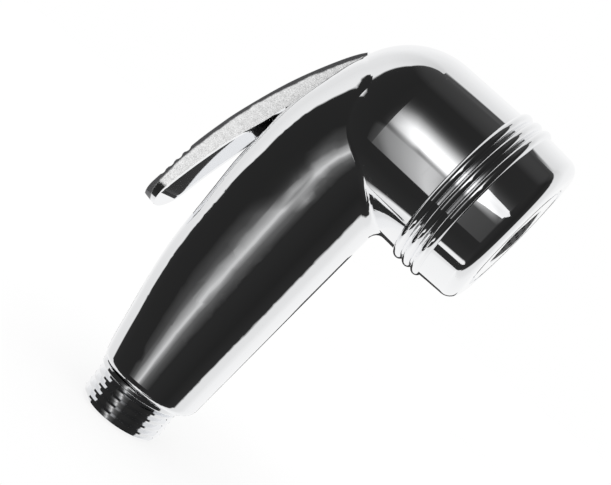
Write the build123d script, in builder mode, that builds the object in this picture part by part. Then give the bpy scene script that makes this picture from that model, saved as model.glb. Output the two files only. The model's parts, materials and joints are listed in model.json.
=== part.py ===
from build123d import *
import os
from math import cos, hypot, pi, radians, sin, tan

# Hand spray with a lever trigger, in millimetres.
# The origin is the centre of the inlet thread's end face, and +Z runs up the inlet thread.
# The spray leaves towards +X, and the object is symmetric about the plane Y = 0.
# Sizes named _s lie along the tilted head axis, forwards, and sizes named _up square to it, upwards.

# Inlet thread, a male G1/2
thread_major_r = 20.955 / 2
thread_minor_r = 18.631 / 2
thread_pitch = 1.814
thread_crest = 0.5
thread_root = 1.55
thread_sink = 0.25
thread_chamfer = 0.9
inlet_bore_r = 6.5
inlet_bore_depth = 14.0
collar_r = 11.0
collar_height = 1.3
collar_rounding = 0.35
thread_length = 8.2
spigot_r = 8.6
spigot_length = 12.5
spigot_ring_height = 1.6
foot_boss_wall = 2.2
foot_boss_height = 12.0

# Outer form of the body
head_tilt = 6.5
head_up = 92.7
head_r = 20.25
sphere_s = 2.5
shoulder_s = 18.9
wall = 2.4
neck_r = 17.6
neck_length = 8.9
neck_wall = 4.8
front_at_foot = 13.55
front_slope = 0.1178
foot_rounding = 2.4
junction_rounding = 2.5
back_exponent = 2.9
end_exponent = 2.15
front_exponent = 2.2
section_points = 20
# Level handle sections: height above the foot, X of the back line and half width
handle_levels = (
    (0.0, -11.0, 12.3),
    (12.5, -13.0, 13.1),
    (24.5, -14.4, 13.8),
    (36.5, -14.7, 14.3),
    (47.5, -14.3, 14.8),
    (56.5, -13.9, 15.0),
)
# Tilted sections that turn the handle into the head: back X, back height, front height and half width
fan_levels = (
    (-12.7, 66.0, 62.5, 15.4),
    (-11.0, 74.5, 64.5, 16.1),
    (-8.3, 82.3, 66.5, 17.2),
    (-5.9, 88.3, 68.5, 18.4),
    (-2.0, 92.1, 71.0, 19.2),
)
cavity_roof = 60.0

# Valve, along the head axis's direction
valve_up = 71.0
block_wall = 2.4
sleeve_r = 5.8
sleeve_start_s = -14.9
sleeve_end_s = 6.8
spool_bore_r = 3.5
chamber_r = 4.6
chamber_s = -1.9
outlet_port_s = 2.0
port_r = 2.0
sleeve_ring_s = (-12.3, -3.4)
stem_r = 1.5
land_length = 3.0
front_land_s = -4.9
spool_rest_gap = 0.1
spring_wire_r = 0.35
spring_turns = 4
spring_clearance = 0.2
spring_seat_thickness = 1.6
spring_seat_boss = 1.2
bonnet_r = 6.4
bonnet_s = (-19.3, -15.0)
bonnet_hole_r = 0.8
bonnet_hole_spacing = 4.4
bonnet_hole_depth = 1.5
plunger_r = 2.5
plunger_tip_s = -25.5
plunger_root_s = -17.3
plunger_socket = 5.0
plunger_rounding = 1.5

# Riser tube from the inlet to the valve
riser_r = 5.0
riser_bore_r = 3.3
riser_socket = 6.0
riser_top_socket = 3.4
channel_r = 2.6

# Trigger lever and its pin
lever_half_width = 5.8
lever_skin = 1.6
lever_side = 1.1
lever_crown = 0.7
lever_edge = 0.2
lever_shoulder = 0.45
lever_tip_rounding = 6.4
pin_x = -3.8
pin_z = 96.0
pin_r = 1.5
pin_reach = 2.2
ear_r = 3.6
pad_r = 3.0
pad_length = 2.4
pad_gap = 0.1
# Lever sections from the pin end to the tip: outer edge and inner edge
lever_stations = (
    ((-4.9, 101.3), (-3.4, 99.0)),
    ((-8.5, 96.9), (-5.6, 94.2)),
    ((-12.6, 90.4), (-8.6, 87.8)),
    ((-16.3, 83.5), (-11.6, 81.3)),
    ((-19.2, 77.0), (-13.9, 75.2)),
    ((-21.6, 71.0), (-16.4, 69.7)),
    ((-23.5, 65.1), (-18.6, 64.4)),
    ((-25.3, 58.0), (-20.9, 57.5)),
    ((-26.4, 51.8), (-22.7, 51.3)),
    ((-27.2, 47.5), (-23.9, 46.7)),
    ((-27.2, 43.9), (-24.9, 43.1)),
)
grip_grooves = 4
grip_groove_r = 1.5
# Bottoms of the grip grooves nearest to the tip and farthest from it
grip_first = (-25.9, 51.2)
grip_last = (-24.4, 58.9)
# Floor of the pocket that the lever sinks into when it is pressed
pocket_floor = (
    (-12.9, 66.0),
    (-11.2, 74.3),
    (-9.4, 80.6),
    (-7.0, 87.4),
    (-0.9, 91.9),
    (0.4, 96.0),
    (-1.6, 101.0),
)
pocket_mouth = (-30.0, 110.0)

# Face cap, spray plate and diffuser
bead_offsets = (1.25, 3.95, 6.6)
bead_r = 1.2
bead_rise = 0.9
cap_step = 0.2
cap_taper = 0.4
cap_length = 17.1
face_rounding = 3.3
opening_r = 7.8
opening_rounding = 0.3
face_groove_r = (13.0, 14.2)
face_groove_depth = 0.3
lip_thickness = 4.6
spray_dome = 0.9
jet_r = 0.55
jet_spacing = 2.1
jet_circles = 3
gasket_thickness = 1.2
gasket_width = 3.65
diffuser_seat = 2.85
diffuser_thickness = 1.5
diffuser_hole_r = 1.3
diffuser_holes = 8
diffuser_pitch_r = 9.0

# Seals and fits
ring_r = 0.5
ring_groove = 1.2
ring_squeeze = 0.02
neck_ring_r = 0.9
neck_ring_offset = 1.7
fit = 0.05
plate_clearance = 0.1
cap_clearance = 0.15
lever_gap = 0.4
small_chamfer = 0.2

# Cuts run past the face they open by overcut, and open cuts reach beyond the whole object.
overcut = 1.0
beyond = 120.0

tilt = radians(head_tilt)
head_axis = Vector(cos(tilt), 0, -sin(tilt))
up_axis = Vector(sin(tilt), 0, cos(tilt))
# Sketches on this plane take the distance along the head axis to the right.
tilted = Plane(origin=(0, 0, 0), x_dir=head_axis, z_dir=(0, -1, 0))
foot_z = thread_length + collar_height
spigot_top = foot_z + spigot_length
riser_bottom = spigot_top - riser_socket
riser_top = cavity_roof + riser_top_socket
riser_ring_heights = (riser_bottom + riser_socket / 2, riser_top - riser_top_socket / 2)
# The riser meets the valve where the valve's axis crosses the inlet axis.
inlet_port_s = -valve_up * tan(tilt)
land_r = spool_bore_r - fit
rear_land_s = bonnet_s[1] + spool_rest_gap
spring_coil_r = chamber_r - spring_wire_r - spring_clearance
neck_end_s = shoulder_s + neck_length
neck_ring_s = shoulder_s + neck_ring_offset
face_s = shoulder_s + cap_length
bead_s = [shoulder_s + offset for offset in bead_offsets]
cap_bore_r = neck_r + cap_clearance
cap_rim_r = head_r + cap_step
cap_front_r = cap_rim_r - cap_taper
bead_crest_r = cap_rim_r + bead_rise
neck_bore_r = neck_r - neck_wall
diffuser_r = neck_r - diffuser_seat
gasket_r = cap_bore_r - plate_clearance
gasket_s = neck_end_s + fit
plate_s = gasket_s + gasket_thickness + fit
lip_s = face_s - lip_thickness
plate_rim_s = face_s - opening_rounding
boss_r = opening_r - fit
beads_end_s = bead_s[-1] + bead_r


def at(s, n, y=0.0):
    """The point at s along the head axis and n above it."""
    return head_axis * s + up_axis * n + Vector(0, y, 0)


def across(s, n):
    """A plane square to the head axis, facing forwards, with its Y upwards."""
    return Plane(origin=at(s, n), x_dir=(0, 1, 0), z_dir=head_axis)


def sleeve(plane, length, outer, inner=0.0):
    """A round sleeve that starts on a plane, or a plain cylinder where inner is zero."""
    with BuildPart() as ring:
        with BuildSketch(plane):
            Circle(outer)
            if inner > 0:
                Circle(inner, mode=Mode.SUBTRACT)
        extrude(amount=length)
    return ring.part


def along(start, end, n, outer, inner=0.0):
    """A sleeve along the head axis's direction between two values of s."""
    return sleeve(across(start, n), end - start, outer, inner)


def upright(start, end, outer, inner=0.0):
    """A sleeve about the inlet axis between two heights."""
    return sleeve(Plane.XY.offset(start), end - start, outer, inner)


def seal(plane, outer, minor=ring_r):
    """A seal ring in a groove of a shaft of radius outer, just proud of it."""
    return plane * Torus(outer + ring_squeeze - minor, minor)


def groove(plane, outer, minor=ring_r):
    """The groove for a seal ring, cut into a shaft of radius outer."""
    width = ring_groove * minor / ring_r
    return sleeve(plane.offset(-width / 2), width, outer + overcut, outer - 2 * minor)


def save(shape, name):
    """Label one finished piece and write it."""
    shape.label = name
    export_step(shape, f"parts/{name}.step")


def front_at(height):
    """The handle's front line at a height above the foot."""
    return front_at_foot + front_slope * height


def facing(back, front):
    """The plane of a section between two points of the XZ plane, with its X from back to front."""
    back_point = Vector(back[0], 0, back[1])
    front_point = Vector(front[0], 0, front[1])
    chord = front_point - back_point
    return Plane(origin=back_point, x_dir=chord, z_dir=chord.cross(Vector(0, 1, 0)))


def oval(depth, half_width, squareness):
    """A closed handle outline, rounder in front than behind."""
    outline = []
    for k in range(section_points):
        turn = 2 * pi * k / section_points
        power = 2 / (front_exponent if cos(turn) > 0 else squareness)
        x = abs(cos(turn)) ** power * (1 if cos(turn) > 0 else -1)
        y = abs(sin(turn)) ** power * (1 if sin(turn) > 0 else -1)
        outline.append((depth / 2 * x, half_width * y))
    return outline


def handle_form(inset):
    """The handle's outer form, or the same form drawn in by inset."""
    stations = [((x, foot_z + up), (front_at(up), foot_z + up), width) for up, x, width in handle_levels]
    for x, back_up, front_up, width in fan_levels:
        stations.append(((x, foot_z + back_up), (front_at(front_up), foot_z + front_up), width))
    span = len(stations) - 1
    with BuildPart() as form:
        for k, (back, front, width) in enumerate(stations):
            depth = hypot(front[0] - back[0], front[1] - back[1])
            squareness = end_exponent + (back_exponent - end_exponent) * sin(pi * k / span)
            outline = oval(depth - 2 * inset, width - inset, squareness)
            with BuildSketch(facing(back, front)):
                with BuildLine():
                    Spline(*[(depth / 2 + x, y) for x, y in outline], periodic=True)
                make_face()
        loft()
    return form.part


def head_form(radius, end):
    """A round head with a domed back, about the head axis."""
    with BuildPart() as form:
        with BuildSketch(tilted):
            with BuildLine():
                Line((sphere_s - radius, head_up), (end, head_up))
                Line((end, head_up), (end, head_up + radius))
                Line((end, head_up + radius), (sphere_s, head_up + radius))
                RadiusArc((sphere_s, head_up + radius), (sphere_s - radius, head_up), -radius)
            make_face()
        revolve(axis=Axis(tuple(at(0, head_up)), tuple(head_axis)))
    return form.part


def side_cut(points, half_width):
    """A solid between two planes of constant Y, from a closed outline in the XZ plane."""
    with BuildPart() as cut:
        with BuildSketch(Plane.XZ):
            with BuildLine():
                Polyline(*points, close=True)
            make_face()
        extrude(amount=half_width, both=True)
    return cut.part


def pin_solid(radius, half_length):
    """A round bar along Y at the lever's pivot."""
    with BuildPart() as bar:
        with BuildSketch(Plane.XZ):
            with Locations((pin_x, pin_z)):
                Circle(radius)
        extrude(amount=half_length, both=True)
    return bar.part


def body_shell():
    """The plated body: handle, head, neck, valve block and lever pocket in one moulding."""
    pocket_half = lever_half_width + lever_gap
    block_r = sleeve_r + block_wall
    with BuildPart() as handle_cavity:
        add(handle_form(wall))
        with BuildSketch(Plane.XY.offset(cavity_roof)):
            Rectangle(beyond, beyond)
        extrude(amount=beyond, mode=Mode.SUBTRACT)
        with BuildSketch(Plane.XY.offset(foot_z + wall)):
            Rectangle(beyond, beyond)
        extrude(amount=-beyond, mode=Mode.SUBTRACT)
        add(upright(foot_z, foot_z + foot_boss_height, spigot_r + foot_boss_wall), mode=Mode.SUBTRACT)
    with BuildPart() as head_cavity:
        add(head_form(head_r - wall, shoulder_s - wall))
        add(along(sphere_s, neck_end_s + overcut, head_up, neck_bore_r))
        add(along(neck_end_s - diffuser_thickness, neck_end_s + overcut, head_up, diffuser_r + fit))
        add(along(bonnet_s[0], sleeve_end_s + block_wall, valve_up, block_r), mode=Mode.SUBTRACT)
    mouth_x, mouth_z = pocket_mouth
    pocket_outline = [(mouth_x, pocket_floor[0][1]), *pocket_floor]
    pocket_outline += [(pocket_floor[-1][0], mouth_z), (mouth_x, mouth_z)]
    with BuildPart() as shell:
        add(handle_form(0))
        add(head_form(head_r, shoulder_s))
        junction = shell.edges().filter_by(lambda e: e.bounding_box().min.Z > cavity_roof)
        fillet(junction.filter_by(GeomType.BSPLINE), junction_rounding)
        fillet(shell.edges().group_by(Axis.Z)[0], foot_rounding)
        add(along(shoulder_s - wall, neck_end_s, head_up, neck_r))
        add(handle_cavity.part, mode=Mode.SUBTRACT)
        add(head_cavity.part, mode=Mode.SUBTRACT)
        add(upright(foot_z - overcut, spigot_top + fit, spigot_r + fit), mode=Mode.SUBTRACT)
        add(along(plunger_tip_s, sleeve_end_s + fit, valve_up, sleeve_r + fit), mode=Mode.SUBTRACT)
        add(along(plunger_tip_s, bonnet_s[1] + fit, valve_up, bonnet_r + fit), mode=Mode.SUBTRACT)
        add(upright(cavity_roof - overcut, riser_top + fit, riser_r + fit), mode=Mode.SUBTRACT)
        add(upright(riser_top - overcut, riser_top + riser_top_socket, channel_r), mode=Mode.SUBTRACT)
        outlet = Plane(origin=at(outlet_port_s, valve_up), x_dir=head_axis, z_dir=up_axis)
        add(sleeve(outlet, 2 * sleeve_r, port_r + fit), mode=Mode.SUBTRACT)
        add(side_cut(pocket_outline, pocket_half), mode=Mode.SUBTRACT)
        add(pin_solid(ear_r + lever_gap, pocket_half), mode=Mode.SUBTRACT)
        add(pin_solid(pin_r + fit, pocket_half + pin_reach), mode=Mode.SUBTRACT)
        add(groove(across(neck_ring_s, head_up), neck_r, neck_ring_r), mode=Mode.SUBTRACT)
    return shell.part


def inlet_thread():
    """The core with its helical ridge, trimmed by the end chamfer and the collar."""
    sunk = thread_minor_r - thread_sink
    path = Helix(thread_pitch, thread_length + 2 * thread_pitch, sunk, center=(0, 0, -thread_pitch))
    with BuildPart() as ridge:
        with BuildSketch(Plane(origin=path @ 0, x_dir=(1, 0, 0), z_dir=path % 0)):
            with BuildLine():
                Polyline(
                    (0, -thread_root / 2),
                    (thread_major_r - sunk, -thread_crest / 2),
                    (thread_major_r - sunk, thread_crest / 2),
                    (0, thread_root / 2),
                    close=True,
                )
            make_face()
        sweep(path=path, is_frenet=True)
    with BuildPart() as envelope:
        with BuildSketch(Plane.XZ):
            with BuildLine():
                Polyline(
                    (0, 0),
                    (thread_major_r - thread_chamfer, 0),
                    (thread_major_r + fit, thread_chamfer),
                    (thread_major_r + fit, thread_length + fit),
                    (0, thread_length + fit),
                    close=True,
                )
            make_face()
        revolve(axis=Axis.Z)
    with BuildPart() as thread:
        add(upright(-2 * thread_pitch, thread_length + 2 * thread_pitch, thread_minor_r))
        add(ridge.part)
        add(envelope.part, mode=Mode.INTERSECT)
    return thread.part


def inlet_connector():
    """The threaded inlet with its collar and the spigot that enters the body's foot."""
    riser_joint = Plane.XY.offset(foot_z + spigot_ring_height)
    with BuildPart() as collar:
        add(upright(thread_length, foot_z - fit, collar_r))
        fillet(collar.edges(), collar_rounding)
    with BuildPart() as connector:
        add(inlet_thread())
        add(collar.part)
        add(upright(thread_length, spigot_top, spigot_r))
        add(groove(riser_joint, spigot_r), mode=Mode.SUBTRACT)
        add(upright(-overcut, inlet_bore_depth, inlet_bore_r), mode=Mode.SUBTRACT)
        add(upright(0, spigot_top, riser_bore_r), mode=Mode.SUBTRACT)
        add(upright(riser_bottom - fit, spigot_top + overcut, riser_r + fit), mode=Mode.SUBTRACT)
    return connector.part


def riser_tube():
    """The tube that carries water up the handle, with a seal groove near each end."""
    with BuildPart() as riser:
        add(upright(riser_bottom, riser_top, riser_r, riser_bore_r))
        for height in riser_ring_heights:
            add(groove(Plane.XY.offset(height), riser_r), mode=Mode.SUBTRACT)
    return riser.part


def valve_sleeve():
    """The lined bore of the valve, with its inlet port below and outlet port above."""
    with BuildPart() as liner:
        add(along(sleeve_start_s, sleeve_end_s, valve_up, sleeve_r, spool_bore_r))
        add(along(chamber_s, sleeve_end_s + overcut, valve_up, chamber_r), mode=Mode.SUBTRACT)
        below = Plane(origin=at(inlet_port_s, valve_up), x_dir=head_axis, z_dir=-up_axis)
        above = Plane(origin=at(outlet_port_s, valve_up), x_dir=head_axis, z_dir=up_axis)
        for port in (below, above):
            add(sleeve(port, 2 * sleeve_r, port_r), mode=Mode.SUBTRACT)
        for place in sleeve_ring_s:
            add(groove(across(place, valve_up), sleeve_r), mode=Mode.SUBTRACT)
    return liner.part


def valve_spool():
    """The sliding stem with two sealing lands."""
    with BuildPart() as spool:
        add(along(plunger_root_s - plunger_socket, front_land_s + land_length, valve_up, stem_r))
        for start in (rear_land_s, front_land_s):
            add(along(start, start + land_length, valve_up, land_r))
            add(groove(across(start + land_length / 2, valve_up), land_r), mode=Mode.SUBTRACT)
    return spool.part


def return_spring():
    """The coil that pushes the spool back, one unbroken wire with open ends."""
    start = front_land_s + land_length + spring_wire_r + fit
    end = sleeve_end_s - spring_seat_thickness - spring_wire_r - fit
    pitch = (end - start) / spring_turns
    print("spring coil gap", round(pitch - 2 * spring_wire_r, 2))
    centre = tuple(at(start, valve_up))
    path = Helix(pitch, end - start, spring_coil_r, center=centre, direction=tuple(head_axis))
    with BuildPart() as spring:
        with BuildSketch(Plane(origin=path @ 0, z_dir=path % 0)):
            Circle(spring_wire_r)
        sweep(path=path, is_frenet=True)
    return spring.part


def spring_seat():
    """The disc that closes the valve's chamber and holds the spring's fixed end."""
    boss_end = sleeve_end_s - spring_seat_thickness
    boss_r = spring_coil_r - spring_wire_r - spring_clearance
    with BuildPart() as seat:
        add(along(boss_end, sleeve_end_s, valve_up, chamber_r - fit))
        add(along(boss_end - spring_seat_boss, boss_end, valve_up, boss_r))
    return seat.part


def bonnet_nut():
    """The guide that closes the valve behind the plunger, turned by two spanner holes."""
    with BuildPart() as bonnet:
        add(along(bonnet_s[0], bonnet_s[1], valve_up, bonnet_r, plunger_r + fit))
        chamfer(bonnet.edges().filter_by(GeomType.CIRCLE).sort_by(SortBy.LENGTH)[-2:], small_chamfer)
        with BuildSketch(across(bonnet_s[0], valve_up)):
            with Locations((bonnet_hole_spacing, 0), (-bonnet_hole_spacing, 0)):
                Circle(bonnet_hole_r)
        extrude(amount=bonnet_hole_depth, mode=Mode.SUBTRACT)
    return bonnet.part


def plunger_cap():
    """The domed button that the lever pushes, pressed on the spool's stem."""
    socket_s = plunger_root_s - plunger_socket - fit
    with BuildPart() as cap:
        add(along(plunger_tip_s, plunger_root_s, valve_up, plunger_r))
        tip = cap.faces().filter_by(GeomType.PLANE).sort_by(Axis.X)[0]
        fillet(tip.edges(), plunger_rounding)
        add(along(socket_s, plunger_root_s, valve_up, stem_r + fit / 2), mode=Mode.SUBTRACT)
    return cap.part


def lever_section(outer, inner):
    """One crowned section of the lever's outer form."""
    depth = hypot(inner[0] - outer[0], inner[1] - outer[1])
    half = lever_half_width
    side_start = lever_edge + lever_shoulder
    edge_half = half - lever_shoulder
    with BuildSketch(facing(outer, inner)) as section:
        with BuildLine():
            Polyline((side_start, half), (depth, half), (depth, -half), (side_start, -half))
            Spline(
                (side_start, -half),
                (lever_edge, -edge_half),
                (-lever_crown, 0),
                (lever_edge, edge_half),
                (side_start, half),
                tangents=((-1, 0), (1, 0)),
            )
        make_face()
    return section.sketch


def lever_plan():
    """The lever's outline from behind: straight sides above a rounded tip."""
    rounding_z = lever_stations[-1][1][1] + lever_tip_rounding
    with BuildPart() as plan:
        with BuildSketch(Plane.YZ):
            with Locations((0, rounding_z)):
                Ellipse(lever_half_width, lever_tip_rounding)
            with Locations((0, rounding_z + beyond / 2)):
                Rectangle(2 * (lever_half_width + overcut), beyond)
        extrude(amount=beyond, both=True)
    return plan.part


def trigger_lever():
    """The channel-shaped lever, with grip grooves near its tip and an ear each side at the pin."""
    half = lever_half_width
    inside = half - lever_side
    with BuildPart() as channel:
        for outer, inner in lever_stations[:-1]:
            depth = hypot(inner[0] - outer[0], inner[1] - outer[1])
            with BuildSketch(facing(outer, inner)):
                with Locations((lever_skin + depth, 0)):
                    Rectangle(2 * depth, 2 * inside)
        loft()
    ear_outline = [lever_stations[k][1] for k in (2, 1, 0)]
    ear_outline += [(pin_x + ear_r, pin_z), (pin_x, pin_z - ear_r)]
    with BuildPart() as ears:
        add(side_cut(ear_outline, half))
        add(pin_solid(ear_r, half))
        with BuildSketch(Plane.XZ):
            Rectangle(beyond, 2 * beyond)
        extrude(amount=inside, both=True, mode=Mode.SUBTRACT)
    with BuildPart() as lever:
        for outer, inner in lever_stations:
            add(lever_section(outer, inner))
        loft()
        add(channel.part, mode=Mode.SUBTRACT)
        add(lever_plan(), mode=Mode.INTERSECT)
        add(along(plunger_tip_s - pad_gap - pad_length, plunger_tip_s - pad_gap, valve_up, pad_r))
        add(ears.part)
        add(pin_solid(pin_r + fit, half + overcut), mode=Mode.SUBTRACT)
        for k in range(grip_grooves):
            share = k / (grip_grooves - 1)
            x = grip_first[0] + (grip_last[0] - grip_first[0]) * share
            z = grip_first[1] + (grip_last[1] - grip_first[1]) * share
            with BuildSketch(Plane.XZ):
                with Locations((x - grip_groove_r, z)):
                    Circle(grip_groove_r)
            extrude(amount=half + overcut, both=True, mode=Mode.SUBTRACT)
    return lever.part


def lever_pin():
    """The hinge pin, held in both walls of the body's pocket."""
    with BuildPart() as pin:
        add(pin_solid(pin_r, lever_half_width + lever_gap + pin_reach - fit))
        chamfer(pin.edges(), small_chamfer)
    return pin.part


def face_cap():
    """The screwed front ring with three grip beads and the round spray opening."""
    with BuildPart() as cap:
        with BuildSketch(tilted):
            with BuildLine():
                rim_start = (shoulder_s + fit, head_up + cap_rim_r)
                arc_start = (face_s - face_rounding, head_up + cap_front_r)
                arc_end = (face_s, head_up + cap_front_r - face_rounding)
                Polyline(rim_start, (beads_end_s, head_up + cap_rim_r), arc_start)
                RadiusArc(arc_start, arc_end, face_rounding)
                Polyline(
                    arc_end,
                    (face_s, head_up + opening_r),
                    (lip_s, head_up + opening_r),
                    (lip_s, head_up + cap_bore_r),
                    (shoulder_s + fit, head_up + cap_bore_r),
                    rim_start,
                )
            make_face()
            for place in bead_s:
                with Locations((place, head_up + bead_crest_r - bead_r)):
                    Circle(bead_r)
        revolve(axis=Axis(tuple(at(0, head_up)), tuple(head_axis)))
        mouth = cap.edges().filter_by(GeomType.CIRCLE).filter_by(lambda e: abs(e.radius - opening_r) < fit)
        fillet(mouth.sort_by(Axis.X)[-1], opening_rounding)
        inner, outer = face_groove_r
        add(along(face_s - face_groove_depth, face_s + overcut, head_up, outer, inner), mode=Mode.SUBTRACT)
    return cap.part


def spray_plate():
    """The jet plate, whose domed boss fills the cap's opening from behind."""
    dome_r = (boss_r**2 + spray_dome**2) / (2 * spray_dome)
    with BuildPart() as plate:
        with BuildSketch(tilted):
            with BuildLine():
                RadiusArc((plate_rim_s, head_up + boss_r), (plate_rim_s + spray_dome, head_up), dome_r)
                Polyline(
                    (plate_rim_s + spray_dome, head_up),
                    (plate_s, head_up),
                    (plate_s, head_up + gasket_r),
                    (lip_s - fit, head_up + gasket_r),
                    (lip_s - fit, head_up + boss_r),
                    (plate_rim_s, head_up + boss_r),
                )
            make_face()
        revolve(axis=Axis(tuple(at(0, head_up)), tuple(head_axis)))
        with BuildSketch(across(plate_s, head_up)):
            Circle(jet_r)
            for ring in range(1, jet_circles + 1):
                with PolarLocations(ring * jet_spacing, 6 * ring):
                    Circle(jet_r)
        extrude(amount=face_s - plate_s + overcut, mode=Mode.SUBTRACT)
    return plate.part


def diffuser_plate():
    """The disc that spreads the water before the jet plate."""
    with BuildPart() as disc:
        add(along(neck_end_s - diffuser_thickness + fit, neck_end_s, head_up, diffuser_r))
        with BuildSketch(across(neck_end_s - diffuser_thickness, head_up)):
            with PolarLocations(diffuser_pitch_r, diffuser_holes):
                Circle(diffuser_hole_r)
        extrude(amount=2 * diffuser_thickness, mode=Mode.SUBTRACT)
    return disc.part


def face_gasket():
    """The flat seal between the neck's end and the jet plate."""
    return along(gasket_s, gasket_s + gasket_thickness, head_up, gasket_r, gasket_r - gasket_width)


os.makedirs("parts", exist_ok=True)
save(body_shell(), "body_shell")
save(inlet_connector(), "inlet_connector")
save(seal(Plane.XY.offset(foot_z + spigot_ring_height), spigot_r), "connector_oring")
save(riser_tube(), "riser_tube")
save(Compound([seal(Plane.XY.offset(z), riser_r) for z in riser_ring_heights]), "riser_orings")
save(valve_sleeve(), "valve_sleeve")
save(Compound([seal(across(s, valve_up), sleeve_r) for s in sleeve_ring_s]), "sleeve_orings")
save(valve_spool(), "valve_spool")
spool_rings = [seal(across(s + land_length / 2, valve_up), land_r) for s in (rear_land_s, front_land_s)]
save(Compound(spool_rings), "spool_orings")
save(return_spring(), "return_spring")
save(spring_seat(), "spring_seat")
save(bonnet_nut(), "bonnet_nut")
save(plunger_cap(), "plunger_cap")
save(trigger_lever(), "trigger_lever")
save(lever_pin(), "lever_pin")
save(face_cap(), "face_cap")
save(seal(across(neck_ring_s, head_up), neck_r, neck_ring_r), "neck_oring")
save(face_gasket(), "face_gasket")
save(diffuser_plate(), "diffuser_plate")
save(spray_plate(), "spray_plate")
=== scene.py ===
import bpy
import json
import math
from mathutils import Matrix, Vector

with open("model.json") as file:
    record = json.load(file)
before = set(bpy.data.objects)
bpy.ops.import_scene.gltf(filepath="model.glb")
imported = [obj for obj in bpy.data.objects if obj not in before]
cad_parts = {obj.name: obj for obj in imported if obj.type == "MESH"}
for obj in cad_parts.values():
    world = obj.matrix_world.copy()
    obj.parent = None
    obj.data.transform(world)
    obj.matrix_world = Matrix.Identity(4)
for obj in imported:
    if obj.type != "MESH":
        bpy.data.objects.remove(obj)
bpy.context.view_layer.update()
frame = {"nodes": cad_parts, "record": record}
scene = bpy.context.scene
scene.view_settings.view_transform = "Standard"


# Camera, fitted to the photograph's outline: angles in degrees, lengths in metres, lens and film in mm
AZIMUTH, ELEVATION, ROLL = 13.2, 2.13, -38.13
TARGET = (0.00978, 0.0, 0.05853)
DISTANCE = 0.2
LENS, FILM_WIDTH = 51.26, 36.0

azimuth, elevation, roll = math.radians(AZIMUTH), math.radians(ELEVATION), math.radians(ROLL)
flat_reach = math.cos(elevation)
back = Vector((math.sin(azimuth) * flat_reach, -math.cos(azimuth) * flat_reach, math.sin(elevation)))
level = Vector((math.cos(azimuth), math.sin(azimuth), 0.0))
rise = back.cross(level)
right = level * math.cos(roll) - rise * math.sin(roll)
up = level * math.sin(roll) + rise * math.cos(roll)
target = Vector(TARGET)
camera_data = bpy.data.cameras.new("photo_camera")
camera_data.sensor_fit = "HORIZONTAL"
camera_data.sensor_width = FILM_WIDTH
camera_data.lens = LENS
camera_data.clip_start = 0.005
camera = bpy.data.objects.new("photo_camera", camera_data)
scene.collection.objects.link(camera)
place = Matrix((right, up, back)).transposed().to_4x4()
place.translation = target + back * DISTANCE
camera.matrix_world = place
scene.camera = camera


def new_material(name):
    """A material with its node tree and its shader."""
    material = bpy.data.materials.new(name)
    material.use_nodes = True
    tree = material.node_tree
    shader = next(n for n in tree.nodes if n.type == "BSDF_PRINCIPLED")
    return material, tree, shader


def node(tree, kind, **settings):
    """A new node with its settings."""
    made = tree.nodes.new(kind)
    for key, value in settings.items():
        setattr(made, key, value)
    return made


def maths(tree, operation, a, b=0.0):
    """The result of one operation on two numbers or node outputs."""
    made = node(tree, "ShaderNodeMath", operation=operation)
    for k, value in enumerate((a, b)):
        if isinstance(value, (int, float)):
            made.inputs[k].default_value = value
        else:
            tree.links.new(value, made.inputs[k])
    return made.outputs["Value"]


def spread(tree, value, low, high, to_low, to_high):
    """A value mapped from one range to another and held at its ends."""
    made = node(tree, "ShaderNodeMapRange")
    for name, number in (("From Min", low), ("From Max", high), ("To Min", to_low), ("To Max", to_high)):
        made.inputs[name].default_value = number
    tree.links.new(value, made.inputs["Value"])
    return made.outputs["Result"]


def noise(tree, scale, detail=4.0, stretch=(1, 1, 1)):
    """A noise in the object's own coordinates; stretch scales its axes."""
    place = node(tree, "ShaderNodeTexCoord")
    fit = node(tree, "ShaderNodeMapping")
    fit.inputs["Scale"].default_value = stretch
    tree.links.new(place.outputs["Object"], fit.inputs["Vector"])
    made = node(tree, "ShaderNodeTexNoise")
    made.inputs["Scale"].default_value = scale
    made.inputs["Detail"].default_value = detail
    tree.links.new(fit.outputs["Vector"], made.inputs["Vector"])
    return made.outputs["Fac"]


def tones(tree, value, dark, pale, low=0.3, high=0.7):
    """A colour between two tones."""
    ramp = node(tree, "ShaderNodeValToRGB")
    stops = ramp.color_ramp.elements
    stops[0].position, stops[0].color = low, (*dark, 1)
    stops[1].position, stops[1].color = high, (*pale, 1)
    tree.links.new(value, ramp.inputs["Fac"])
    return ramp.outputs["Color"]


def bump(tree, value, height, normal=None):
    """A relief of a given height in metres."""
    made = node(tree, "ShaderNodeBump")
    made.inputs["Strength"].default_value = 1.0
    made.inputs["Distance"].default_value = height
    tree.links.new(value, made.inputs["Height"])
    if normal is not None:
        tree.links.new(normal, made.inputs["Normal"])
    return made.outputs["Normal"]


CHROME = (0.93, 0.935, 0.945)
# Tone of the painted dark line on the lever's outer edge: a painted reflection standing in for the dark band
# on the rounded shoulder
PAINTED_EDGE_DARK = (0.15, 0.15, 0.155)
ORANGE_PEEL = 0.0000006
CAST_RELIEF = 0.00012
# Where the lever's flat sides and its plain tip begin
LEVER_SIDE_Y = (0.0054, 0.0056)
LEVER_TIP_Z = (0.0478, 0.0492)
# The circle that the lever's outer edge follows, and the radii at which its painted dark line begins
LEVER_ARC_X, LEVER_ARC_Z = 0.0786, 0.0359
LEVER_PAINTED_LINE_R = (0.1047, 0.1051)


def plating(tree):
    """Bright plating: a haze left by handling, fine wiping marks and a trace of orange peel."""
    haze = spread(tree, noise(tree, 70.0), 0.4, 0.75, 0.02, 0.07)
    marks = spread(tree, noise(tree, 900.0, 2.0, (1, 1, 0.08)), 0.62, 0.8, 0.0, 0.06)
    rough = maths(tree, "ADD", haze, marks)
    relief = bump(tree, noise(tree, 260.0, 2.0), ORANGE_PEEL)
    return rough, relief


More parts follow.
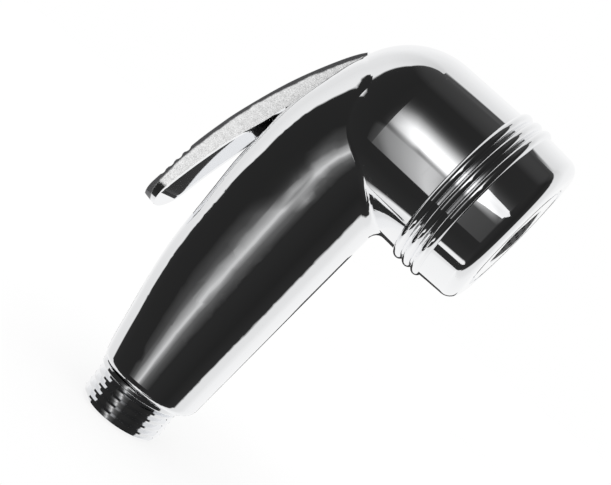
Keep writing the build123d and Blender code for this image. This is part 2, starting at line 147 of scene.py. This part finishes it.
def chrome_material():
    """Bright chrome plate."""
    material, tree, shader = new_material("chrome_plate")
    shader.inputs["Metallic"].default_value = 1.0
    shader.inputs["Base Color"].default_value = (*CHROME, 1)
    rough, relief = plating(tree)
    tree.links.new(rough, shader.inputs["Roughness"])
    tree.links.new(relief, shader.inputs["Normal"])
    return material


def lever_material():
    """The same plating, with a grained casting on the flat sides and a painted dark line along their outer
    edge: a painted reflection that stands in for the dark band on the rounded shoulder, which the solid has
    only narrower.
    """
    material, tree, shader = new_material("lever_plate")
    place = node(tree, "ShaderNodeTexCoord")
    facing = node(tree, "ShaderNodeSeparateXYZ")
    tree.links.new(place.outputs["Normal"], facing.inputs[0])
    spot = node(tree, "ShaderNodeSeparateXYZ")
    tree.links.new(place.outputs["Object"], spot.inputs[0])
    flat = spread(tree, maths(tree, "ABSOLUTE", facing.outputs[1]), 0.985, 0.998, 0.0, 1.0)
    outside = spread(tree, maths(tree, "ABSOLUTE", spot.outputs[1]), *LEVER_SIDE_Y, 0.0, 1.0)
    ragged = maths(tree, "ADD", spot.outputs[2], spread(tree, noise(tree, 900.0), 0.3, 0.7, -0.0006, 0.0006))
    above_tip = spread(tree, ragged, *LEVER_TIP_Z, 0.0, 1.0)
    side = maths(tree, "MULTIPLY", maths(tree, "MULTIPLY", flat, outside), above_tip)
    # The painted dark line, a painted reflection, lies outside a radius about the centre of the outer edge's
    # circle
    outer_x = maths(tree, "SUBTRACT", spot.outputs[0], LEVER_ARC_X)
    outer_z = maths(tree, "SUBTRACT", spot.outputs[2], LEVER_ARC_Z)
    squares = [maths(tree, "MULTIPLY", way, way) for way in (outer_x, outer_z)]
    radius = maths(tree, "SQRT", maths(tree, "ADD", *squares))
    ripple = spread(tree, noise(tree, 420.0), 0.3, 0.7, -0.00015, 0.00015)
    near_edge = spread(tree, maths(tree, "ADD", radius, ripple), *LEVER_PAINTED_LINE_R, 0.0, 1.0)
    slanted = spread(tree, maths(tree, "ABSOLUTE", facing.outputs[1]), 0.2, 0.4, 0.0, 1.0)
    painted_edge_line = maths(tree, "MULTIPLY", slanted, near_edge)
    grained = maths(tree, "MULTIPLY", side, maths(tree, "SUBTRACT", 1.0, painted_edge_line))
    rough, relief = plating(tree)
    grain = noise(tree, 2600.0, 5.0)
    coarse = noise(tree, 700.0, 3.0)
    mottle = maths(tree, "ADD", maths(tree, "MULTIPLY", grain, 0.6), maths(tree, "MULTIPLY", coarse, 0.4))
    cast = tones(tree, mottle, (0.74, 0.74, 0.74), (1.0, 1.0, 1.0), 0.36, 0.56)
    blend = node(tree, "ShaderNodeMix", data_type="RGBA")
    # Base colour: chrome darkened towards grey along the painted dark reflection at the outer edge
    tree.links.new(tones(tree, painted_edge_line, CHROME, PAINTED_EDGE_DARK, 0.1, 0.9), blend.inputs[6])
    tree.links.new(grained, blend.inputs[0])
    tree.links.new(cast, blend.inputs[7])
    tree.links.new(blend.outputs[2], shader.inputs["Base Color"])
    cast_metal = spread(tree, grained, 0.0, 1.0, 1.0, 0.03)
    line_metal = spread(tree, painted_edge_line, 0.0, 1.0, 1.0, 0.4)
    tree.links.new(maths(tree, "MULTIPLY", cast_metal, line_metal), shader.inputs["Metallic"])
    satin = node(tree, "ShaderNodeMix", data_type="FLOAT")
    tree.links.new(grained, satin.inputs[0])
    tree.links.new(rough, satin.inputs[2])
    tree.links.new(spread(tree, grain, 0.35, 0.65, 0.25, 0.5), satin.inputs[3])
    tree.links.new(satin.outputs[0], shader.inputs["Roughness"])
    cast_relief = bump(tree, maths(tree, "MULTIPLY", mottle, grained), CAST_RELIEF, relief)
    tree.links.new(cast_relief, shader.inputs["Normal"])
    return material


def textured_material(name, dark, pale, rough, metal, scales, height, stretch=(1, 1, 1), gloss=0.5):
    """A material with broad tone, varied gloss and fine relief. The scales are the tone's and the grain's."""
    material, tree, shader = new_material(name)
    shader.inputs["Metallic"].default_value = metal
    shader.inputs["Specular IOR Level"].default_value = gloss
    broad = noise(tree, scales[0], 5.0, stretch)
    fine = noise(tree, scales[1], 3.0, stretch)
    tree.links.new(tones(tree, broad, dark, pale), shader.inputs["Base Color"])
    both = maths(tree, "MULTIPLY", maths(tree, "ADD", broad, fine), 0.5)
    tree.links.new(spread(tree, both, 0.35, 0.65, *rough), shader.inputs["Roughness"])
    tree.links.new(bump(tree, fine, height), shader.inputs["Normal"])
    return material


materials = {
    "chrome_plate": chrome_material(),
    "stainless": textured_material(
        "stainless_steel", (0.5, 0.5, 0.51), (0.66, 0.66, 0.67), (0.18, 0.38), 1.0,
        (300.0, 2500.0), 0.000004, (1, 0.06, 1)),
    "seal_rubber": textured_material(
        "seal_rubber", (0.012, 0.012, 0.013), (0.035, 0.034, 0.033), (0.5, 0.75), 0.0,
        (350.0, 3000.0), 0.00001),
    "valve_plastic": textured_material(
        "valve_plastic", (0.66, 0.65, 0.61), (0.74, 0.735, 0.71), (0.3, 0.48), 0.0,
        (120.0, 2200.0), 0.000008),
    "dark_plastic": textured_material(
        "dark_plastic", (0.01, 0.01, 0.011), (0.024, 0.024, 0.026), (0.42, 0.6), 0.0,
        (220.0, 2600.0), 0.000008, gloss=0.15),
    "valve_brass": textured_material(
        "valve_brass", (0.5, 0.33, 0.12), (0.66, 0.47, 0.2), (0.2, 0.4), 1.0,
        (200.0, 2400.0), 0.000005, (0.08, 1, 1)),
}
lever_plate = lever_material()
slots = {entry["node"]: entry["material_slot"] for entry in frame["record"]["subparts"]}
for name, obj in frame["nodes"].items():
    for slot in obj.material_slots:
        slot.material = lever_plate if name == "trigger_lever" else materials[slots[name]]


FILL_LEVEL = 0.55


def build_world():
    """White for camera, glossy and transmission rays, and a plain level for diffuse light."""
    world = bpy.data.worlds.new("studio")
    scene.world = world
    world.use_nodes = True
    tree = world.node_tree
    tree.nodes.clear()
    paths = node(tree, "ShaderNodeLightPath")
    seen = maths(tree, "ADD", paths.outputs["Is Camera Ray"], paths.outputs["Is Glossy Ray"])
    seen = maths(tree, "ADD", seen, paths.outputs["Is Transmission Ray"])
    white = node(tree, "ShaderNodeBackground")
    white.inputs["Color"].default_value = (1, 1, 1, 1)
    white.inputs["Strength"].default_value = 1.0
    fill = node(tree, "ShaderNodeBackground")
    fill.inputs["Color"].default_value = (1, 1, 1, 1)
    fill.inputs["Strength"].default_value = FILL_LEVEL
    mix = node(tree, "ShaderNodeMixShader")
    tree.links.new(seen, mix.inputs[0])
    tree.links.new(fill.outputs[0], mix.inputs[1])
    tree.links.new(white.outputs[0], mix.inputs[2])
    out = node(tree, "ShaderNodeOutputWorld")
    tree.links.new(mix.outputs[0], out.inputs[0])


def curve(tree, value, points):
    """A table from a value to a level: points are (value, level), in rising order."""
    low, high = points[0][0], points[-1][0]
    table = node(tree, "ShaderNodeValToRGB")
    stops = table.color_ramp.elements
    while len(stops) < len(points):
        stops.new(0.5)
    for stop, (at, level) in zip(stops, points):
        stop.position = (at - low) / (high - low)
        stop.color = (level, level, level, 1)
    tree.links.new(spread(tree, value, low, high, 0.0, 1.0), table.inputs["Fac"])
    return table.outputs["Color"]


def glow_material(name, level_of, see_through=False):
    """Plain light whose level comes from the object's own coordinates."""
    material = bpy.data.materials.new(name)
    material.use_nodes = True
    tree = material.node_tree
    tree.nodes.clear()
    place = node(tree, "ShaderNodeTexCoord")
    glow = node(tree, "ShaderNodeEmission")
    tree.links.new(level_of(tree, place.outputs["Object"]), glow.inputs["Strength"])
    out = node(tree, "ShaderNodeOutputMaterial")
    if see_through:
        clear = node(tree, "ShaderNodeBsdfTransparent")
        both = node(tree, "ShaderNodeAddShader")
        tree.links.new(glow.outputs[0], both.inputs[0])
        tree.links.new(clear.outputs[0], both.inputs[1])
        tree.links.new(both.outputs[0], out.inputs["Surface"])
    else:
        tree.links.new(glow.outputs[0], out.inputs["Surface"])
    return material


# The studio as the plating shows it: levels by azimuth and elevation in degrees.
# Azimuth 0 is towards -Y and turns towards +X.
# CLOTH_LEFT gives how far to the left the cloth reaches at each elevation, in units of 100 degrees.
CLOTH_ACROSS = ((-90, 1.4), (-60, 1.1), (-30, 1.0), (20, 1.2), (60, 0.9), (90, 1.3))
CLOTH_UP = ((-80, 0.03), (-50, 0.02), (0, 0.019), (58, 0.019), (66, 0.036), (90, 0.06))
CLOTH_LEFT = (
    (-40, 0.88), (-24, 0.84), (-9, 0.8), (-4, 0.75), (0, 0.7), (5, 0.64),
    (10, 0.64), (22, 0.73), (34, 0.755), (57, 0.77), (71, 0.88), (83, 0.95),
)
CLOTH_LEFT_UNIT = 100.0
CLOTH_RIGHT, CLOTH_RIGHT_SOFT = 93.0, 5.0
CLOTH_FOOT, CLOTH_CROWN, CLOTH_END_SOFT = -70.5, 82.0, 2.0
WHITE_ACROSS = ((50, 0.92), (95, 0.8), (115, 0.82), (135, 0.93), (180, 0.97))
WHITE_UP = ((-90, 1.0), (40, 1.0), (60, 0.92), (76, 0.82), (90, 0.8))
# Levels of the soft box's parts, in metres across its face and heights above the inlet
STRIP_ACROSS = (
    (-0.12, 0.0), (-0.075, 0.04), (-0.058, 0.1), (-0.05, 0.24), (-0.042, 0.32), (-0.031, 0.46), (-0.025, 0.6),
    (-0.019, 0.56), (-0.014, 0.36), (-0.007, 0.24), (0.006, 0.1), (0.03, 0.05), (0.07, 0.0),
)
STRIP_UP = ((-0.087, 0.0), (-0.083, 1.0), (0.045, 1.0), (0.065, 0.0))
CORE_ACROSS = (
    (-0.11, 0.0), (-0.075, 0.03), (-0.055, 0.08), (-0.044, 0.16), (-0.037, 0.45), (-0.028, 0.8),
    (-0.018, 1.0), (0.022, 1.0), (0.036, 0.6), (0.05, 0.08), (0.08, 0.0),
)
CORE_UP = (
    (0.045, 0.0), (0.062, 0.6), (0.076, 1.1), (0.09, 1.16), (0.125, 1.12), (0.145, 0.9),
    (0.17, 0.62), (0.19, 0.36), (0.21, 0.2), (0.235, 0.1), (0.265, 0.05), (0.3, 0.0),
)
ARM_OUTLINE = ((0.03, 0.06), (0.06, 0.095), (0.13, 0.106), (0.13, 0.112), (0.06, 0.128), (0.03, 0.15))
ARM_LEVEL = 0.85
BOX_Y = -0.22
CORE_LIFT, ARM_LIFT = 0.0005, 0.001
# A part's top is drawn in by its draw left of DRAW_FROM, and by up to its taper from there to TAPER_TO
DRAW_FROM, TAPER_TO = -0.024, 0.02
# Corners of the card behind, in degrees aside of and below the line of sight
EDGE_CARD_OUTLINE = ((-24, 1.5), (5, 1.5), (11, 8), (15, 12), (22, 21), (-24, 21))
EDGE_CARD_REACH, EDGE_CARD_LEVEL = 0.45, 0.04
# Dark cards under the object, seen only in reflections, are painted shadow standing in for the shade beneath
# it
SHADOW_CARD_Z, SHADOW_CARD_LEVEL = -0.33, 0.025
DOME_CENTRE, DOME_RADIUS = (0.01, 0.0, 0.06), 0.9
DOME_COLUMNS, DOME_ROWS = 96, 64
FLOOR_REACH, FLOOR_Z = 3.0, -0.0004
FLOOR_PALING = 0.85
LAMP_STRENGTH, LAMP_SPREAD = 1.9, 50
LAMP_TILT = (12, 8, 0)


def edge(tree, value, at, soft=3.0):
    """Rises from 0 to 1 where a value passes at."""
    return spread(tree, value, at - soft / 2, at + soft / 2, 0.0, 1.0)


def studio_level(tree, position):
    """Dark cloth round the camera's side and overhead, and white paper everywhere else."""
    unit = node(tree, "ShaderNodeVectorMath", operation="NORMALIZE")
    tree.links.new(position, unit.inputs[0])
    parts = node(tree, "ShaderNodeSeparateXYZ")
    tree.links.new(unit.outputs[0], parts.inputs[0])
    toward = maths(tree, "MULTIPLY", parts.outputs[1], -1.0)
    turn = maths(tree, "MULTIPLY", maths(tree, "ARCTAN2", parts.outputs[0], toward), 180 / math.pi)
    rise = maths(tree, "MULTIPLY", maths(tree, "ARCSINE", parts.outputs[2]), 180 / math.pi)
    left = maths(tree, "MULTIPLY", curve(tree, rise, CLOTH_LEFT), CLOTH_LEFT_UNIT)
    inside = maths(tree, "MULTIPLY", edge(tree, maths(tree, "ADD", turn, left), 0.0),
                   maths(tree, "SUBTRACT", 1.0, edge(tree, turn, CLOTH_RIGHT, CLOTH_RIGHT_SOFT)))
    inside = maths(tree, "MULTIPLY", inside, edge(tree, rise, CLOTH_FOOT, CLOTH_END_SOFT))
    inside = maths(tree, "MAXIMUM", inside, edge(tree, rise, CLOTH_CROWN, CLOTH_END_SOFT))
    cloth = maths(tree, "MULTIPLY", curve(tree, turn, CLOTH_ACROSS), curve(tree, rise, CLOTH_UP))
    white_across = curve(tree, maths(tree, "ABSOLUTE", turn), WHITE_ACROSS)
    paper = maths(tree, "MULTIPLY", white_across, curve(tree, rise, WHITE_UP))
    outside = maths(tree, "SUBTRACT", 1.0, inside)
    return maths(tree, "ADD", maths(tree, "MULTIPLY", cloth, inside), maths(tree, "MULTIPLY", paper, outside))


def part_level(across, upward, draw, lean, taper):
    """The level of one part of the soft box from two tables, leaning, its top drawn in at both ends."""
    def level(tree, position):
        parts = node(tree, "ShaderNodeSeparateXYZ")
        tree.links.new(position, parts.inputs[0])
        corner = maths(tree, "MULTIPLY", maths(tree, "SUBTRACT", DRAW_FROM, parts.outputs[0]), draw)
        drawn = maths(tree, "ADD", parts.outputs[2], maths(tree, "MAXIMUM", corner, 0.0))
        drawn = maths(tree, "ADD", drawn, spread(tree, parts.outputs[0], DRAW_FROM, TAPER_TO, 0.0, taper))
        height = maths(tree, "MULTIPLY", curve(tree, parts.outputs[2], upward), curve(tree, drawn, upward))
        slid = maths(tree, "SUBTRACT", parts.outputs[0], maths(tree, "MULTIPLY", parts.outputs[2], lean))
        return maths(tree, "MULTIPLY", curve(tree, slid, across), height)
    return level


def even_level(amount):
    """A level with the faint mottling of paint or cloth."""
    def level(tree, position):
        return spread(tree, noise(tree, 40.0), 0.3, 0.7, amount * 0.9, amount * 1.1)
    return level


def glossy_only(obj):
    """Shows an object to reflections alone."""
    obj.visible_camera = False
    obj.visible_diffuse = False
    obj.visible_shadow = False
    obj.visible_transmission = False


def sheet(name, corners, material):
    """A flat sheet through its corners."""
    mesh = bpy.data.meshes.new(name)
    mesh.from_pydata(corners, [], [tuple(range(len(corners)))])
    mesh.materials.append(material)
    made = bpy.data.objects.new(name, mesh)
    scene.collection.objects.link(made)
    return made


def studio_dome(centre, radius):
    """A sphere of paper and cloth round the object, seen from inside."""
    columns, rows = DOME_COLUMNS, DOME_ROWS
    vertices, faces = [], []
    for j in range(rows + 1):
        height = -math.pi / 2 + math.pi * j / rows
        for i in range(columns):
            turn = 2 * math.pi * i / columns
            flat = math.cos(height) * radius
            vertices.append((math.sin(turn) * flat, -math.cos(turn) * flat, math.sin(height) * radius))
    for j in range(rows):
        for i in range(columns):
            k, along = j * columns + i, j * columns + (i + 1) % columns
            faces.append((k, k + columns, along + columns, along))
    mesh = bpy.data.meshes.new("studio_dome")
    mesh.from_pydata(vertices, [], faces)
    mesh.shade_smooth()
    mesh.materials.append(glow_material("studio_dome", studio_level))
    dome = bpy.data.objects.new("studio_dome", mesh)
    dome.location = centre
    scene.collection.objects.link(dome)
    return dome


def soft_box_part(name, across, upward, draw, lean, taper, lift):
    """One part of the soft box, on its own sheet a little nearer than the last."""
    low, high = across[0][0], across[-1][0]
    foot, top = upward[0][0], upward[-1][0]
    y = BOX_Y + lift
    corners = [(low, y, foot), (high, y, foot), (high, y, top), (low, y, top)]
    level = part_level(across, upward, draw, lean, taper)
    return sheet(name, corners, glow_material(name, level, see_through=True))


def soft_box_sheet(name, outline, amount):
    """A plain flap of the soft box, its outline given across and up."""
    corners = [(x, BOX_Y + ARM_LIFT, z) for x, z in outline]
    return sheet(name, corners, glow_material(name, even_level(amount), see_through=True))


def floor_material():
    """White paper, shown paler to the camera so that the object's shadow stays faint."""
    material = textured_material(
        "floor_paper", (0.9, 0.9, 0.9), (0.94, 0.94, 0.94), (0.8, 0.95), 0.0, (14.0, 700.0), 0.00002)
    tree = material.node_tree
    shader = next(n for n in tree.nodes if n.type == "BSDF_PRINCIPLED")
    out = next(n for n in tree.nodes if n.type == "OUTPUT_MATERIAL")
    glow = node(tree, "ShaderNodeEmission")
    paths = node(tree, "ShaderNodeLightPath")
    mix = node(tree, "ShaderNodeMixShader")
    tree.links.new(maths(tree, "MULTIPLY", paths.outputs["Is Camera Ray"], FLOOR_PALING), mix.inputs[0])
    tree.links.new(shader.outputs[0], mix.inputs[1])
    tree.links.new(glow.outputs[0], mix.inputs[2])
    tree.links.new(mix.outputs[0], out.inputs["Surface"])
    return material


def edge_card():
    """A dark card far behind, below the line of sight, that draws the lower edges of the plating."""
    def corner(side, down):
        aside = right * math.tan(math.radians(side))
        below = up * math.tan(math.radians(down))
        return target + (aside - below - back) * EDGE_CARD_REACH

    corners = [corner(side, down) for side, down in EDGE_CARD_OUTLINE]
    return sheet("edge_card", corners, glow_material("edge_card", even_level(EDGE_CARD_LEVEL)))


def level_sheet(name, xs, ys, z, material):
    """A level rectangle at a height."""
    corners = [(xs[0], ys[0], z), (xs[1], ys[0], z), (xs[1], ys[1], z), (xs[0], ys[1], z)]
    return sheet(name, corners, material)


def shadow_card(name, xs, ys):
    """A dark card under the object, seen only in reflections: painted shadow that stands in for the shade
    beneath the object.
    """
    return level_sheet(name, xs, ys, SHADOW_CARD_Z, glow_material(name, even_level(SHADOW_CARD_LEVEL)))


def build_stage():
    """The floor, what the plating reflects, and one even light from above."""
    seen_in_gloss = [
        studio_dome(DOME_CENTRE, DOME_RADIUS),
        soft_box_part("soft_box_strip", STRIP_ACROSS, STRIP_UP, draw=0.3, lean=0.12, taper=0.0, lift=0.0),
        soft_box_part("soft_box_core", CORE_ACROSS, CORE_UP, draw=3.5, lean=0.0, taper=0.025, lift=CORE_LIFT),
        soft_box_sheet("soft_box_arm", ARM_OUTLINE, ARM_LEVEL),
        edge_card(),
        # Painted shadow under the object, for the plating to reflect
        shadow_card("foot_card_near", (-0.02, 0.17), (-0.1, -0.015)),
        shadow_card("foot_card_far", (-0.13, -0.088), (-0.015, 0.068)),
    ]
    for obj in seen_in_gloss:
        glossy_only(obj)
    reach = (-FLOOR_REACH, FLOOR_REACH)
    floor = level_sheet("floor", reach, reach, FLOOR_Z, floor_material())
    floor.visible_glossy = False
    lamp = bpy.data.lights.new("overhead", "SUN")
    lamp.energy = LAMP_STRENGTH
    lamp.angle = math.radians(LAMP_SPREAD)
    light = bpy.data.objects.new("overhead", lamp)
    light.rotation_euler = [math.radians(tilt) for tilt in LAMP_TILT]
    light.visible_glossy = False
    scene.collection.objects.link(light)


build_world()
build_stage()
